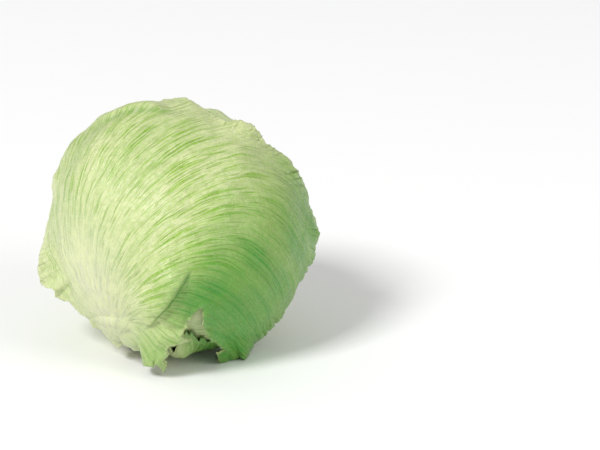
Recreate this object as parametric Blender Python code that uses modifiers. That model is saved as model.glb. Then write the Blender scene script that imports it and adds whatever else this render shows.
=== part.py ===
"""Iceberg lettuce head with its cut stem, packed heart and six wrapper leaves, lying on a table.

Metres, +Z up. The crown points up, away from the front (-Y) and to the right (+X), and the stem
points down, forward and to the left. The head rests at Z = 0, on the patch that its weight
presses flat.

Every leaf is drawn in the head's own axes. A point of the head is given by its polar angle from
the stem (0 at the stem, 180 at the crown) and its azimuth round the stem (0 at the front). A leaf
is a cap of the ball, unrolled round its own middle into a flat chart: x runs to the right of the
leaf and y runs from its base to its tip, both as lengths of arc.
"""

import functools
import math
from collections import namedtuple

import bmesh
import bpy
import numpy as np
from mathutils import Matrix

# Where the head lies, and how it leans
HEAD_CENTRE = (-0.0007, 0.0033, 0.0722)
CROWN_TILT = 42.0
CROWN_HEADING = 53.5
FRONT_RISE = 20.0

# The ball that the wrapper leaves close round
BALL_RADIUS = 0.0712
BUTT_TAPER = 0.090
BUTT_TAPER_WIDTH = 34.0
CROWN_FLATTENING = 0.075
LUMP_HEIGHT = 0.0011
BALL_BULGES = (
    # polar angle, azimuth, spread, height
    (104.0, -86.0, 13.0, 0.0046),
    (145.0, -68.0, 12.0, -0.0022),
)
PRESS_BLEND = 0.0010
PRESS_DEPTH = 0.0002

# Leaves: blade, midrib, and the space between one leaf and the next
BLADE_THICKNESS = 0.0009
LEAF_GAP = 0.0010
OPEN_SLACK = 0.0005
LEAF_POLAR = 82.0
BASE_REACH = 76.0
RIB_HEIGHT = 0.0038
RIB_LENGTH = 0.105
RIB_HALF_WIDTH = 0.0125
RIB_TIP_HALF_WIDTH = 0.0040
COVER_NEAR = 0.0045
COVER_FAR = 0.0250
OPEN_NEAR = 0.0060
OPEN_FAR = 0.0240
CHART_RADIUS = 0.0760
MARGIN_SPACING = 0.0008
MARGIN_STEPS = 3600
GRID = 20
FRONT_GRID = 30

# Ragged margins: waves round the leaf as (waves per turn, share of the reach, phase)
MARGIN_WAVES = ((7, 0.016, 0.4), (13, 0.012, 2.1), (23, 0.011, 4.0))
MARGIN_ZONE = 0.70
LIFT_WAVES = 11.0

# Beside the stem a leaf keeps only a share of its lift
STEM_LIFT = 0.15
LIFT_NEAR = 0.0150
LIFT_FAR = 0.0230

# Stem
STEM_RADIUS = 0.0165
STEM_TOP_RADIUS = 0.0075
STEM_TOP = -0.020
STEM_SHOULDER = -0.052
STEM_SHOULDER_DROP = 0.0056
STEM_CUT = -0.0700
STEM_BEVEL = 0.0014
STEM_SIDES = 28
STEM_HOLE_END = -0.084
MERGE_LENGTH = 0.00002
STEM_GAP = 0.0004
STEM_CLEARANCE = 0.0010
STEM_LEVEL = 0.0045
STEM_BLEND = 0.0040

# Heart: inner leaves packed tight, whose outlines stand up as low steps
HEART_DETAIL = 4
HEART_CLEARANCE = 0.0007
HEART_STEP = 0.0011
HEART_STEP_WIDTH = 0.0083

# How each leaf lies. Reaches and bearings are in degrees, as seen from the middle of the leaf, and
# a bearing is 0 towards the base, 90 to the right and 180 at the tip. A crease is a ridge that is
# soft on its left side and steep on its right, from start to end. A flare lifts the margin near a
# bearing, from its zone of the reach outwards, and a bulge lifts the leaf round a chart point. A
# lobe adds its share to the reach near a bearing. A tear runs up straight, side to the right of the
# chart's middle, to its apex, and closes past it. Only the front leaf passes over the cut stem.
Crease = namedtuple("Crease", "start end height soft steep")
Flare = namedtuple("Flare", "bearing spread height zone")
Bulge = namedtuple("Bulge", "x y width length height")
Lobe = namedtuple("Lobe", "bearing spread share")
Tear = namedtuple("Tear", "side apex closes")
Leaf = namedtuple(
    "Leaf",
    "name azimuth left right crown rib_turn phase wave creases flares bulges lobes tear over_stem grid",
    defaults=(0.0, 0.0, 0.0026, (), (), (), (), None, False, GRID),
)
MM = 0.001
LEAVES = (
    Leaf("inner_leaf_left", azimuth=-72, left=84, right=82, crown=104, rib_turn=8, phase=5.2),
    Leaf("inner_leaf_back", azimuth=105, left=84, right=84, crown=98, rib_turn=-9, phase=3.9),
    Leaf("inner_leaf_right", azimuth=32, left=84, right=84, crown=92, rib_turn=7, phase=0.8),
    Leaf(
        "outer_leaf_left",
        azimuth=-126,
        left=80,
        right=76,
        crown=84,
        rib_turn=-10,
        phase=2.6,
        wave=4.2 * MM,
        flares=(
            Flare(bearing=-118, spread=34, height=5.5 * MM, zone=0.62),
            Flare(bearing=62, spread=30, height=3.5 * MM, zone=0.70),
        ),
    ),
    Leaf(
        "outer_leaf_back",
        azimuth=165,
        left=82,
        right=80,
        crown=80,
        rib_turn=16,
        phase=1.3,
        wave=4.2 * MM,
        flares=(
            Flare(bearing=-25, spread=10, height=9.0 * MM, zone=0.72),
            Flare(bearing=140, spread=34, height=5.5 * MM, zone=0.66),
        ),
        bulges=(Bulge(-47 * MM, -101 * MM, 13 * MM, 13 * MM, 7.0 * MM),),
        lobes=(Lobe(bearing=-28, spread=11, share=0.17), Lobe(bearing=-31, spread=3, share=0.05)),
    ),
    Leaf(
        "front_leaf",
        azimuth=0,
        left=97,
        right=101,
        crown=60,
        rib_turn=-41,
        phase=0.2,
        wave=3.0 * MM,
        creases=(
            Crease((8.5 * MM, -70 * MM), (14.5 * MM, -32 * MM), 5.0 * MM, 15 * MM, 5.5 * MM),
            Crease((-92 * MM, 46 * MM), (-44 * MM, 66 * MM), 3.8 * MM, 14 * MM, 6.0 * MM),
        ),
        flares=(
            Flare(bearing=-44, spread=10, height=11.0 * MM, zone=0.76),
            Flare(bearing=50, spread=13, height=11.0 * MM, zone=0.72),
            Flare(bearing=104, spread=24, height=4.5 * MM, zone=0.74),
            Flare(bearing=150, spread=26, height=2.5 * MM, zone=0.80),
        ),
        bulges=(Bulge(26 * MM, -108 * MM, 15 * MM, 33 * MM, 14 * MM),),
        lobes=(
            Lobe(bearing=-3, spread=11, share=0.11),
            Lobe(bearing=12.5, spread=6, share=-0.085),
            Lobe(bearing=18, spread=5, share=-0.080),
            Lobe(bearing=150, spread=26, share=-0.16),
        ),
        tear=Tear(side=31 * MM, apex=36, closes=41),
        over_stem=True,
        grid=FRONT_GRID,
    ),
)
# The tear's outline on the front leaf's chart, and the shares of the ball's radius that the wedge
# taken out there runs between
TEAR_OUTLINE = (
    (46 * MM, -150 * MM),
    (34 * MM, -95 * MM),
    (28 * MM, -85 * MM),
    (27 * MM, -77 * MM),
    (39 * MM, -70 * MM),
    (31 * MM, -66 * MM),
    (31 * MM, -56 * MM),
    (34 * MM, -46 * MM),
    (42 * MM, -58 * MM),
    (51 * MM, -67 * MM),
    (66 * MM, -72 * MM),
    (74 * MM, -77 * MM),
    (69 * MM, -80 * MM),
    (78 * MM, -90 * MM),
    (100 * MM, -140 * MM),
)
TEAR_INSIDE = 0.75
TEAR_OUTSIDE = 1.6

HEART_LEAVES = (
    Leaf("heart_leaf_a", azimuth=20, left=70, right=74, crown=84),
    Leaf("heart_leaf_b", azimuth=150, left=72, right=70, crown=96),
    Leaf("heart_leaf_c", azimuth=-95, left=70, right=72, crown=88),
)

COLOURS = {
    "stem": (0.78, 0.72, 0.52),
    "heart": (0.62, 0.72, 0.34),
    "inner_leaf": (0.52, 0.68, 0.28),
    "outer_leaf": (0.42, 0.62, 0.22),
}


def smooth(low, high, value):
    """0 below low, 1 above high, and an even S between them."""
    share = np.clip((value - low) / (high - low), 0.0, 1.0)
    return share * share * (3.0 - 2.0 * share)


def smaller(first, second, blend):
    """The lesser of two lengths, rounded off where they meet."""
    share = np.clip(0.5 + 0.5 * (second - first) / blend, 0.0, 1.0)
    return second + (first - second) * share - blend * share * (1.0 - share)


def head_axes():
    """Columns: the head's front, its right side and its crown, in world axes."""
    tilt, heading, rise = map(math.radians, (CROWN_TILT, CROWN_HEADING, FRONT_RISE))
    level = np.array((math.cos(heading), math.sin(heading), 0.0))
    crown = math.sin(tilt) * level + np.array((0.0, 0.0, math.cos(tilt)))
    front = np.array((0.0, -math.cos(rise), math.sin(rise)))
    front -= crown * front.dot(crown)
    front /= np.linalg.norm(front)
    return np.column_stack((front, np.cross(crown, front), crown))


AXES = head_axes()
DOWN = -AXES[2]


def direction(polar, azimuth):
    """The unit vector at a polar angle from the stem and an azimuth, in degrees."""
    polar, azimuth = math.radians(polar), math.radians(azimuth)
    level = np.array((math.cos(azimuth), math.sin(azimuth), 0.0))
    return math.sin(polar) * level - np.array((0.0, 0.0, math.cos(polar)))


def leaf_frame(leaf):
    """The middle of the leaf's chart on the unit ball, and its x and y directions there."""
    middle = direction(LEAF_POLAR, leaf.azimuth)
    tip_side = direction(LEAF_POLAR + 90.0, leaf.azimuth)
    return middle, np.cross(tip_side, middle), tip_side


def from_chart(leaf, x, y):
    """Unit vectors for chart points."""
    middle, right, up = leaf_frame(leaf)
    arc = np.hypot(x, y)
    share = np.sin(arc / CHART_RADIUS) / np.maximum(arc, 1e-9)
    return np.cos(arc / CHART_RADIUS)[:, None] * middle + share[:, None] * (
        x[:, None] * right + y[:, None] * up
    )


def to_chart(leaf, points):
    """Chart points for unit vectors."""
    middle, right, up = leaf_frame(leaf)
    across, along = points @ right, points @ up
    arc = np.arccos(np.clip(points @ middle, -1.0, 1.0)) * CHART_RADIUS
    share = arc / np.maximum(np.hypot(across, along), 1e-9)
    return across * share, along * share


def bearing_of(x, y):
    """Degrees round the leaf: 0 towards its base, 90 to its right, 180 at its tip."""
    return np.degrees(np.arctan2(x, -y))


def turn_from(bearing, other):
    """The signed difference of two bearings."""
    return (bearing - other + 180.0) % 360.0 - 180.0


def stem_limit(bearing):
    """How far a leaf can reach before it meets the stem, in radians of arc."""
    polar, turn = math.radians(LEAF_POLAR), np.radians(bearing)
    size = np.hypot(math.cos(polar), math.sin(polar) * np.cos(turn))
    to_foot = np.arctan2(math.sin(polar) * np.cos(turn), math.cos(polar))
    nearest = (1.0 - BUTT_TAPER) * BALL_RADIUS
    edge = math.cos(math.asin((STEM_RADIUS + STEM_GAP) / nearest))
    meets = (edge < size) & (np.cos(turn) > 0.0)
    return np.where(meets, to_foot - np.arccos(np.minimum(edge / size, 1.0)), math.pi)


def reach(leaf, bearing, torn=True):
    """The leaf's outline: the length of arc from the chart's middle to its margin."""
    side = np.where(bearing < 0.0, leaf.left, leaf.right)
    end = np.where(np.abs(bearing) < 90.0, BASE_REACH, leaf.crown)
    turn = np.radians(bearing)
    far = end + (side - end) * np.abs(np.sin(turn))
    for waves, share, phase in MARGIN_WAVES:
        far = far * (1.0 + share * np.sin(waves * turn + phase + leaf.phase * waves))
    for lobe in leaf.lobes:
        far = far * (1.0 + lobe.share * np.exp(-((turn_from(bearing, lobe.bearing) / lobe.spread) ** 2)))
    far = np.radians(far)
    if leaf.tear and torn:
        side = leaf.tear.side / CHART_RADIUS
        cut = np.where(bearing > 0.0, side / np.maximum(np.sin(turn), 1e-3), math.pi)
        whole = smooth(leaf.tear.apex, leaf.tear.closes, bearing)
        far = np.minimum(far, cut) * (1.0 - whole) + far * whole
    limit = math.pi if leaf.over_stem else stem_limit(bearing)
    return np.minimum(far, limit) * CHART_RADIUS


@functools.cache
def margin(leaf):
    """Unit vectors at even spaces along the leaf's outline."""
    bearing = np.linspace(-180.0, 180.0, MARGIN_STEPS + 1)
    arc = reach(leaf, bearing)
    x, y = arc * np.sin(np.radians(bearing)), -arc * np.cos(np.radians(bearing))
    run = np.concatenate(((0.0,), np.cumsum(np.hypot(np.diff(x), np.diff(y)))))
    places = np.arange(0.0, run[-1], MARGIN_SPACING)
    return from_chart(leaf, np.interp(places, run, x), np.interp(places, run, y))


def outside(leaf, points):
    """How far points are from the leaf's outline, and less than 0 on the leaf."""
    x, y = to_chart(leaf, points)
    nearest = np.max(points @ margin(leaf).T, axis=1)
    away = np.arccos(np.clip(nearest, -1.0, 1.0)) * CHART_RADIUS
    return np.where(np.hypot(x, y) < reach(leaf, bearing_of(x, y)), -away, away)


def cover(leaf, points, near, far):
    """1 over the leaf, falling to 0 at the length far outside its margin."""
    return 1.0 - smooth(near, far, outside(leaf, points))


def rib_axes(leaf, x, y):
    """Lengths across the leaf's midrib and along it from the stem."""
    turn = math.radians(leaf.rib_turn)
    foot = -math.radians(LEAF_POLAR) * CHART_RADIUS
    across = x * math.cos(turn) - (y - foot) * math.sin(turn)
    along = x * math.sin(turn) + (y - foot) * math.cos(turn)
    return across, along


def leaf_thickness(leaf, x, y):
    """Blade and midrib. The rib is thickest where it leaves the stem."""
    across, along = rib_axes(leaf, x, y)
    share = np.clip(along / RIB_LENGTH, 0.0, 1.0)
    half_width = RIB_HALF_WIDTH + (RIB_TIP_HALF_WIDTH - RIB_HALF_WIDTH) * share
    rib = (1.0 - share) ** 1.5 * np.exp(-((across / half_width) ** 2))
    return BLADE_THICKNESS + RIB_HEIGHT * rib


def layers(leaves, points):
    """The height that these leaves and the gaps under them add over each point."""
    total = np.zeros(len(points))
    for leaf in leaves:
        thick = leaf_thickness(leaf, *to_chart(leaf, points)) + LEAF_GAP
        total += thick * cover(leaf, points, COVER_NEAR, COVER_FAR)
    return total


def ball(points):
    """The radius of the packed head under its wrapper leaves."""
    polar = np.arccos(np.clip(-points[:, 2], -1.0, 1.0))
    azimuth = np.arctan2(points[:, 1], points[:, 0])
    taper = BUTT_TAPER * np.exp(-((np.degrees(polar) / BUTT_TAPER_WIDTH) ** 2))
    flattening = CROWN_FLATTENING * smooth(math.pi * 0.55, math.pi, polar)
    lumps = np.sin(3.0 * azimuth + 0.8) * np.sin(polar) ** 2 * np.cos(2.0 * polar)
    lumps += 0.7 * np.sin(2.0 * azimuth - 1.1 + 2.0 * polar) * np.sin(polar)
    radius = BALL_RADIUS * (1.0 - taper - flattening) + LUMP_HEIGHT * lumps
    for bulge_polar, bulge_azimuth, spread, height in BALL_BULGES:
        away = np.arccos(np.clip(points @ direction(bulge_polar, bulge_azimuth), -1.0, 1.0))
        radius += height * np.exp(-((np.degrees(away) / spread) ** 2))
    return radius


def pressed(radius, above, points):
    """The radius once the table has flattened the head, with this much leaf still above it."""
    drop = np.maximum(points @ DOWN, 1e-3)
    limit = (HEAD_CENTRE[2] + PRESS_DEPTH - above) / drop
    return smaller(radius, limit, PRESS_BLEND)


def held_off_stem(radius, points):
    """The radius of a leaf that passes over the stem, let out to lie on its cut."""
    polar = np.arccos(np.clip(-points[:, 2], -1.0, 1.0))
    rim = math.atan((STEM_RADIUS + STEM_LEVEL) / -STEM_CUT)
    least = (STEM_CLEARANCE - STEM_CUT) / np.cos(np.minimum(polar, rim))
    return -smaller(-radius, -least * (1.0 - smooth(rim, 2.0 * rim, polar)), STEM_BLEND)


def ridge(crease, x, y):
    """The height of a crease over chart points. It fades out at both ends."""
    (x0, y0), (x1, y1) = crease.start, crease.end
    length = math.hypot(x1 - x0, y1 - y0)
    run, rise = (x1 - x0) / length, (y1 - y0) / length
    along = (x - x0) * run + (y - y0) * rise
    side = (x - x0) * rise - (y - y0) * run
    width = np.where(side < 0.0, crease.soft, crease.steep)
    fade = smooth(-crease.soft, crease.soft, along)
    fade = fade * (1.0 - smooth(length - 0.5 * crease.soft, length + 0.5 * crease.soft, along))
    return crease.height * fade * np.exp(-((side / width) ** 2))


def open_to_air(outer, points):
    """1 where no outer leaf lies near, and 0 under one."""
    free = np.ones(len(points))
    for leaf in outer:
        free *= 1.0 - cover(leaf, points, OPEN_NEAR, OPEN_FAR)
    return free


def lift(leaf, x, y, share):
    """How far an open leaf stands off the leaves under it: waves, flares and creases."""
    bearing = bearing_of(x, y)
    waves = 0.5 + 0.5 * np.sin(np.radians(LIFT_WAVES * bearing) + leaf.phase)
    height = leaf.wave * waves * smooth(MARGIN_ZONE, 1.0, share) ** 2
    for flare in leaf.flares:
        near = np.exp(-((turn_from(bearing, flare.bearing) / flare.spread) ** 2))
        height += flare.height * near * smooth(flare.zone, 1.06, share) ** 1.3
    for crease in leaf.creases:
        height += ridge(crease, x, y)
    return height


def bulging(leaf, x, y):
    """The height of a leaf's bulges, which it keeps even under another leaf."""
    height = 0.0 * x
    for bulge in leaf.bulges:
        away = ((x - bulge.x) / bulge.width) ** 2 + ((y - bulge.y) / bulge.length) ** 2
        height += bulge.height * np.exp(-away)
    return height


def round_chart(a, b):
    """Square grid points moved onto the unit disc: their share of the reach, and bearing."""
    wide = np.abs(a) > np.abs(b)
    share = np.where(wide, a, b)
    safe = np.where(np.abs(share) < 1e-12, 1.0, share)
    turn = np.where(wide, b / safe, 2.0 - a / safe) * math.pi / 4.0
    return np.abs(share), bearing_of(share * np.cos(turn), share * np.sin(turn))


def leaf_inside(number, share, bearing):
    """Points of a leaf's inner face in the head's axes, and its thickness at each."""
    leaf, inner, outer = LEAVES[number], LEAVES[:number], LEAVES[number + 1 :]
    arc = share * reach(leaf, bearing, torn=False)
    x, y = arc * np.sin(np.radians(bearing)), -arc * np.cos(np.radians(bearing))
    points = from_chart(leaf, x, y)
    thick = leaf_thickness(leaf, x, y)
    free = open_to_air(outer, points)
    radius = ball(points) + layers(inner, points) + OPEN_SLACK * free
    radius = pressed(radius, thick + layers(outer, points), points)
    if leaf.over_stem:
        radius = held_off_stem(radius, points)
    from_foot = np.hypot(*rib_axes(leaf, x, y))
    loose = STEM_LIFT + (1.0 - STEM_LIFT) * smooth(LIFT_NEAR, LIFT_FAR, from_foot)
    radius = radius + loose * (free * lift(leaf, x, y, share) + bulging(leaf, x, y))
    return points * radius[:, None], thick


def off_table(points, height):
    """Raises each point that is less than height above the table."""
    short = height - (HEAD_CENTRE[2] - points @ DOWN)
    return points - np.maximum(short, 0.0)[:, None] * DOWN


def clear_of_stem(points):
    """Moves points that would touch the stem straight out from it."""
    side = np.hypot(points[:, 0], points[:, 1])
    beside = (points[:, 2] < 0.0) & (points[:, 2] > STEM_CUT - STEM_GAP)
    wanted = np.maximum(side, np.where(beside, STEM_RADIUS + STEM_GAP, 0.0))
    moved = points.copy()
    moved[:, :2] *= (wanted / np.maximum(side, 1e-9))[:, None]
    return moved


def solid_sheet(obj, thick):
    """Gives an open sheet the thickness at each vertex, outwards, and makes it one mesh."""
    thinnest, thickest = float(thick.min()), float(thick.max())
    group = obj.vertex_groups.new(name="thickness")
    for index, value in enumerate(thick):
        weight = (float(value) - thinnest) / (thickest - thinnest)
        group.add([index], weight, "REPLACE")
    shell = obj.modifiers.new("thickness", "SOLIDIFY")
    shell.thickness = thickest
    shell.offset = 1.0
    shell.vertex_group = group.name
    shell.thickness_vertex_group = thinnest / thickest
    graph = bpy.context.evaluated_depsgraph_get()
    whole = bpy.data.meshes.new_from_object(obj.evaluated_get(graph))
    obj.modifiers.clear()
    obj.vertex_groups.clear()
    obj.data = whole


def colour(obj, name):
    """A plain material in the piece's own colour."""
    material = bpy.data.materials.get(name) or bpy.data.materials.new(name)
    material.use_nodes = True
    shader = material.node_tree.nodes["Principled BSDF"]
    shader.inputs["Base Color"].default_value = (*COLOURS[name], 1.0)
    shader.inputs["Roughness"].default_value = 0.5
    shader.inputs["Metallic"].default_value = 0.0
    obj.data.materials.clear()
    obj.data.materials.append(material)


def add_piece(name, mesh, head, collection):
    """An object in the head's axes, carried by the empty that places the head."""
    obj = bpy.data.objects.new(name, mesh)
    collection.objects.link(obj)
    obj.parent = head
    return obj


def cutter(obj):
    """Hides an object that is only there to cut another."""
    obj.hide_render = True
    obj.display_type = "WIRE"
    return obj


def tear_wedge(leaf, head, cutters):
    """The wedge that a tear takes out of a leaf."""
    x, y = np.array(TEAR_OUTLINE).T
    points = from_chart(leaf, x, y) * BALL_RADIUS
    wedge = bmesh.new()
    base = wedge.faces.new([wedge.verts.new(point * TEAR_INSIDE) for point in points])
    grown = bmesh.ops.extrude_face_region(wedge, geom=[base])["geom"]
    for vertex in grown:
        if isinstance(vertex, bmesh.types.BMVert):
            vertex.co *= TEAR_OUTSIDE / TEAR_INSIDE
    bmesh.ops.triangulate(wedge, faces=wedge.faces)
    bmesh.ops.recalc_face_normals(wedge, faces=wedge.faces)
    mesh = bpy.data.meshes.new("tear")
    wedge.to_mesh(mesh)
    wedge.free()
    return cutter(add_piece("tear", mesh, head, cutters))


def cut_away(obj, tool):
    """Takes the tool's solid out of the object."""
    cut = obj.modifiers.new("cut", "BOOLEAN")
    cut.operation = "DIFFERENCE"
    cut.object = tool


def make_leaf(number, head, collection, cutters):
    """One wrapper leaf: a square grid shaped to the leaf, then given its thickness."""
    leaf = LEAVES[number]
    sheet = bmesh.new()
    bmesh.ops.create_grid(sheet, x_segments=leaf.grid, y_segments=leaf.grid, size=1.0)
    square = np.array([vertex.co[:2] for vertex in sheet.verts])
    points, thick = leaf_inside(number, *round_chart(square[:, 0], square[:, 1]))
    points = off_table(clear_of_stem(points), BLADE_THICKNESS - PRESS_DEPTH)
    for vertex, point in zip(sheet.verts, points):
        vertex.co = point
    bmesh.ops.triangulate(sheet, faces=sheet.faces)
    mesh = bpy.data.meshes.new(leaf.name)
    sheet.to_mesh(mesh)
    sheet.free()
    obj = add_piece(leaf.name, mesh, head, collection)
    solid_sheet(obj, thick)
    corners = np.array([vertex.co for vertex in obj.data.vertices])
    obj.data.vertices.foreach_set("co", off_table(corners, 0.0).ravel())
    if leaf.tear:
        cut_away(obj, tear_wedge(leaf, head, cutters))
    obj.data.shade_smooth()
    colour(obj, "inner_leaf" if leaf.name.startswith("inner") else "outer_leaf")


def turned(name, profile, head, collection):
    """A profile of (radius, height) points, from top to bottom, turned round the head's axis."""
    mesh = bpy.data.meshes.new(name)
    rows = [(radius, 0.0, height) for radius, height in profile]
    mesh.from_pydata(rows, [(i, i + 1) for i in range(len(rows) - 1)], [])
    obj = add_piece(name, mesh, head, collection)
    screw = obj.modifiers.new("turn", "SCREW")
    screw.steps = screw.render_steps = STEM_SIDES
    screw.use_merge_vertices = True
    screw.merge_threshold = MERGE_LENGTH
    return obj


def stem_profile(gap, end):
    """The stem's outline, let out by a gap and carried down to end."""
    return (
        (0.0, STEM_TOP + gap),
        (STEM_TOP_RADIUS + gap, STEM_TOP + gap),
        (STEM_RADIUS - STEM_BEVEL + gap, STEM_SHOULDER),
        (STEM_RADIUS + gap, STEM_SHOULDER - STEM_SHOULDER_DROP),
        (STEM_RADIUS + gap, end + STEM_BEVEL),
        (STEM_RADIUS - STEM_BEVEL + gap, end),
        (0.0, end),
    )


def make_stem(head, collection):
    """The stem that every leaf grows from: a core inside the head, cut flat at the butt."""
    obj = turned("stem", stem_profile(0.0, STEM_CUT), head, collection)
    obj.data.shade_smooth()
    colour(obj, "stem")


def make_heart(head, collection, cutters):
    """The packed inner leaves as one ball, raised where each lies and open for the stem."""
    shape = bmesh.new()
    bmesh.ops.create_icosphere(shape, subdivisions=HEART_DETAIL, radius=1.0)
    points = np.array([vertex.co.normalized() for vertex in shape.verts])
    radius = ball(points) - HEART_CLEARANCE
    for leaf in HEART_LEAVES:
        radius -= HEART_STEP * (1.0 - cover(leaf, points, 0.0, HEART_STEP_WIDTH))
    radius = pressed(radius, layers(LEAVES, points) + HEART_CLEARANCE, points)
    for vertex, point in zip(shape.verts, points * radius[:, None]):
        vertex.co = point
    mesh = bpy.data.meshes.new("heart")
    shape.to_mesh(mesh)
    shape.free()
    obj = add_piece("heart", mesh, head, collection)
    cut_away(obj, cutter(turned("stem_hole", stem_profile(STEM_GAP, STEM_HOLE_END), head, cutters)))
    obj.data.shade_smooth()
    colour(obj, "heart")


def clear_scene():
    for obj in list(bpy.data.objects):
        bpy.data.objects.remove(obj, do_unlink=True)


def main():
    clear_scene()
    collection = bpy.data.collections.new("iceberg_lettuce_head")
    cutters = bpy.data.collections.new("cutters")
    bpy.context.scene.collection.children.link(collection)
    bpy.context.scene.collection.children.link(cutters)
    head = bpy.data.objects.new("head", None)
    collection.objects.link(head)
    head.matrix_world = Matrix.Translation(HEAD_CENTRE) @ Matrix(AXES.tolist()).to_4x4()
    make_stem(head, collection)
    make_heart(head, collection, cutters)
    for number in range(len(LEAVES)):
        make_leaf(number, head, collection, cutters)


main()
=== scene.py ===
"""Iceberg lettuce head on a pale table: six wrapper leaves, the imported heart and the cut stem.

Every leaf is drawn in the head's own axes. A point of the head is given by its polar angle from
the stem (0 at the stem, 180 at the crown) and its azimuth round the stem (0 at the front). A leaf
is a cap of the ball, unrolled round its own middle into a flat chart: x runs to the right of the
leaf and y runs from its base to its tip, both as lengths of arc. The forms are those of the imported
solids, drawn finer, with teeth along the margins, veins and puckers.
"""

import functools
import math
from collections import namedtuple

import bmesh
import bpy
import numpy as np
from bpy.props import FloatProperty
from bpy.props import FloatVectorProperty
from bpy.props import IntProperty
from bpy.props import PointerProperty
from mathutils import Matrix
from mathutils import Vector


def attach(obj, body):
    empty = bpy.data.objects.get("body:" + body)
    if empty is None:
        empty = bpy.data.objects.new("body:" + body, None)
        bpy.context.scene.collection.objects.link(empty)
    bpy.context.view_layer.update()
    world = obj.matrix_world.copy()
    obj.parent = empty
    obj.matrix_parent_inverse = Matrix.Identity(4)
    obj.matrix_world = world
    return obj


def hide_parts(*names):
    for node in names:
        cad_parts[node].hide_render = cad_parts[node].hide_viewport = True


bl_info = {
    "name": "Iceberg Lettuce Head",
    "version": (1, 0, 0),
    "blender": (4, 5, 0),
    "location": "3D View > Sidebar > Lettuce",
    "description": "Models a lettuce head's leaves, heart and stem, and the table and light for it",
    "category": "Add Mesh",
}

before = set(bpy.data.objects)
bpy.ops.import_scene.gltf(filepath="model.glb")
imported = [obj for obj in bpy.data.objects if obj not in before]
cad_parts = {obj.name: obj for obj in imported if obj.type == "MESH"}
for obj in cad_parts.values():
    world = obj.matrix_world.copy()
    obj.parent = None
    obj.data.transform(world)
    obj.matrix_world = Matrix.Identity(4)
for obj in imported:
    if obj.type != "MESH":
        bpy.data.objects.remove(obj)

# Where the head lies, and how it leans
HEAD_CENTRE = (-0.0007, 0.0033, 0.0722)
CROWN_TILT = 42.0
CROWN_HEADING = 53.5
FRONT_RISE = 20.0

# The ball that the wrapper leaves close round
BALL_RADIUS = 0.0712
BUTT_TAPER = 0.090
BUTT_TAPER_WIDTH = 34.0
CROWN_FLATTENING = 0.075
CROWN_START = 0.55 * math.pi
LUMP_HEIGHT = 0.0011
BALL_BULGES = (
    # polar angle, azimuth, spread, height
    (104.0, -86.0, 13.0, 0.0046),
    (145.0, -68.0, 12.0, -0.0022),
)
PRESS_BLEND = 0.0010
PRESS_DEPTH = 0.0002
TABLE_FADE = 0.006

# How the leaves lie on each other
LEAF_GAP = 0.0010
OPEN_SLACK = 0.0005
LEAF_POLAR = 82.0
BASE_REACH = 76.0
RIB_LENGTH = 0.105
RIB_HALF_WIDTH = 0.0125
RIB_TIP_HALF_WIDTH = 0.0040
COVER_NEAR = 0.0045
COVER_FAR = 0.0250
OPEN_NEAR = 0.0060
OPEN_FAR = 0.0240
CHART_RADIUS = 0.0760
DEGREE = math.radians(1.0) * CHART_RADIUS

# Ragged margins: waves round the leaf as (waves per turn, share of the reach, phase). How far a
# point is from an outline is found from spaced points on the outline, a chunk at a time.
MARGIN_WAVES = ((7, 0.016, 0.4), (13, 0.012, 2.1), (23, 0.011, 4.0))
MARGIN_ZONE = 0.70
MARGIN_STEPS = 3601
MARGIN_SPACING = 0.0008
CHUNK = 8000
STEM_EASING = 4.0
STEM_EASING_STEPS = 9

# Waves, ruffles and teeth, as counts a turn. Teeth are bolder on a flare, the more so the higher it
# is, and on a lobe, and a little past both.
LIFT_WAVES = 11.0
FLARE_END = 1.06
BROAD_RUFFLES = 54
SMALL_RUFFLES = 150
BROAD_TEETH = 74
SMALL_TEETH = 190
FLARE_TEETH = 170.0
LOBE_TEETH = 0.9
BOLD_REACH = 1.3

# Beside the stem a leaf keeps only a share of its lift
STEM_LIFT = 0.15
LIFT_NEAR = 0.0150
LIFT_FAR = 0.0230

# Stem
STEM_RADIUS = 0.0165
STEM_TOP_RADIUS = 0.0075
STEM_TOP = -0.020
STEM_SHOULDER = -0.052
STEM_CUT = -0.0700
STEM_BEVEL = 0.0014
STEM_GAP = 0.0004
STEM_CLEARANCE = 0.0010
STEM_LEVEL = 0.0045
STEM_BLEND = 0.0040
STEM_SHOULDER_DROP = 0.0056
STEM_POINT_SPACING = 0.0012
STEM_FLUTES = 16
STEM_FLUTE_DEPTH = 0.07
STEM_FLUTE_LENGTH = 0.02
STEM_CUT_ZONE = 0.003
STEM_DISH = 0.0012
STEM_ROUGHNESS = 0.0004
STEM_GRAIN = 0.0025
CUT_RING_RADIUS = 0.0095
CUT_RING_WIDTH = 0.0024

# Heart, and the hole in it for the stem
HEART_CLEARANCE = 0.0007
HEART_STEP = 0.0011
HEART_STEP_WIDTH = 0.0022
HEART_LEAF_EDGE = 0.001
STEM_HOLE_END = 1.2 * STEM_CUT
STEM_HOLE_SIDES = 48

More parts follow.
